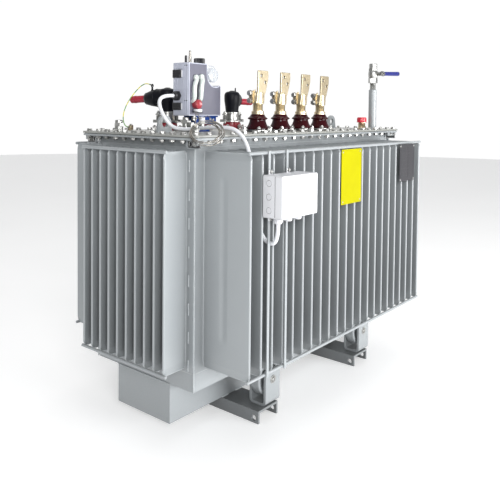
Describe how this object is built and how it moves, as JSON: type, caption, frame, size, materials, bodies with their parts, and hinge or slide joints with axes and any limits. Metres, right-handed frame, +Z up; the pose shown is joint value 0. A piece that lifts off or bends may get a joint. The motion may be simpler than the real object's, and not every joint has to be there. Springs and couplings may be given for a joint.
{
  "type": "power transformer",
  "caption": "Oil-filled distribution transformer: corrugated finned tank on base channels with stowed rollers, porcelain and plug-in bushings, relay, filling valve and junction box.",
  "frame": {"origin": "centre of the bounding box in plan, on the floor the base channels rest on", "axes": "+X along the long side, towards the filling valve; the low-voltage side with the junction box faces -Y; +Z up"},
  "size_m": [1.5176, 0.9758, 1.341],
  "materials": {
    "tank_paint": "satin light grey paint",
    "gasket": "matt",
    "steel": "zinc plated",
    "roller": "painted grey",
    "porcelain": "dark brown-red glaze",
    "brass": "bare, slightly tarnished",
    "red_resin": "cast resin",
    "black_rubber": "semi gloss",
    "red_cable": "extruded sheath",
    "relay_grey": "moulded",
    "relay_blue": "gloss blue paint",
    "clear": "clear",
    "black_plastic": "moulded",
    "box_white": "moulded light grey",
    "yellow": "plain yellow plate",
    "plate_grey": "anodised",
    "blue_grip": "dipped vinyl",
    "red_cap": "moulded cap"
  },
  "bodies": {
    "tank": {"box_glands": "box_white", "box_straps": "tank_paint", "breather_cap": "red_cap", "breather_stub": "steel", "capillary": "steel", "capillary_coil": "steel", "conduit": "box_white", "corner_lugs": "tank_paint", "cover_gasket": "gasket", "cover_plate": "tank_paint", "earth_wire": "yellow", "filler_pipe": "tank_paint", "fins_back": "tank_paint", "fins_front": "tank_paint", "fins_left": "tank_paint", "fins_right": "tank_paint", "front_plate": "yellow", "hv_bushings": "red_resin", "hv_cables": "red_cable", "hv_clamps": "steel", "hv_elbows": "black_rubber", "junction_box": "box_white", "junction_lid": "box_white", "lifting_lugs": "tank_paint", "lv_flanges": "steel", "lv_porcelains": "porcelain", "lv_terminals": "brass", "nameplate": "plate_grey", "nameplate_brackets": "tank_paint", "rail_left": "tank_paint", "rail_right": "tank_paint", "relay_base": "relay_blue", "relay_body": "relay_grey", "relay_button": "red_resin", "relay_dome": "clear", "relay_knobs": "black_plastic", "relay_window": "clear", "roller_axles": "steel", "roller_forks": "tank_paint", "sensor_pockets": "steel", "sump_box": "tank_paint", "tank_rim": "tank_paint", "tank_shell": "tank_paint", "tie_rods": "tank_paint", "valve_body": "steel", "wall_sheets": "tank_paint"},
    "lever": {"valve_lever": "blue_grip"},
    "wheel_front_left_body": {"wheel_front_left": "roller"},
    "wheel_front_right_body": {"wheel_front_right": "roller"},
    "wheel_back_left_body": {"wheel_back_left": "roller"},
    "wheel_back_right_body": {"wheel_back_right": "roller"}
  },
  "joints": [
    {"name": "wheel_front_left_spin", "type": "hinge", "parent": "tank", "child": "wheel_front_left_body", "pos_m": [-0.307, -0.2314, 0.136], "axis": [0, 1, 0], "continuous": true},
    {"name": "wheel_front_right_spin", "type": "hinge", "parent": "tank", "child": "wheel_front_right_body", "pos_m": [0.363, -0.2314, 0.136], "axis": [0, 1, 0], "continuous": true},
    {"name": "wheel_back_left_spin", "type": "hinge", "parent": "tank", "child": "wheel_back_left_body", "pos_m": [-0.307, 0.3116, 0.136], "axis": [0, 1, 0], "continuous": true},
    {"name": "wheel_back_right_spin", "type": "hinge", "parent": "tank", "child": "wheel_back_right_body", "pos_m": [0.363, 0.3116, 0.136], "axis": [0, 1, 0], "continuous": true},
    {"name": "valve_lever_turn", "type": "hinge", "parent": "tank", "child": "lever", "pos_m": [0.567, -0.2309, 1.292], "axis": [0, -1, 0], "range_deg": [0, 90]}
  ]
}
